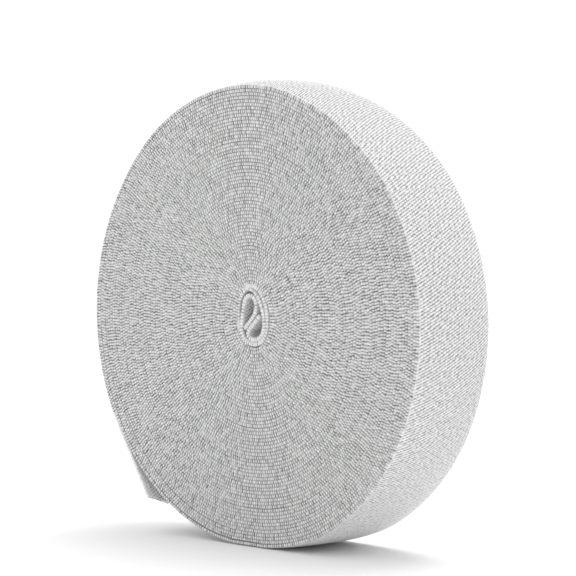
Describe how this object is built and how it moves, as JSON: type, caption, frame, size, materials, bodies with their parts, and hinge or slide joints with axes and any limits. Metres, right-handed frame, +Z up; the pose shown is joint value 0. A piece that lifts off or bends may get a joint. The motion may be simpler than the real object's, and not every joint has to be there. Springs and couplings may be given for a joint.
{
  "type": "roll of elastic",
  "caption": "Wide white knitted elastic strip wound flat into a tight coreless roll, standing on its edge, with a short loose end sprung off its side.",
  "frame": {"origin": "on the surface that the roll stands on, below the roll's axis and halfway across the strip's width", "axes": "+Y along the roll's axis, from its front face to its back face; +Z up; +X to the right, seen from the front"},
  "size_m": [0.1749, 0.0382, 0.1735],
  "materials": {
    "knit_elastic": "matt white knit with fine ribs along the strip and dotted rows across it"
  },
  "bodies": {
    "root": {"roll": "knit_elastic", "loose_end": "knit_elastic"}
  },
  "joints": []
}
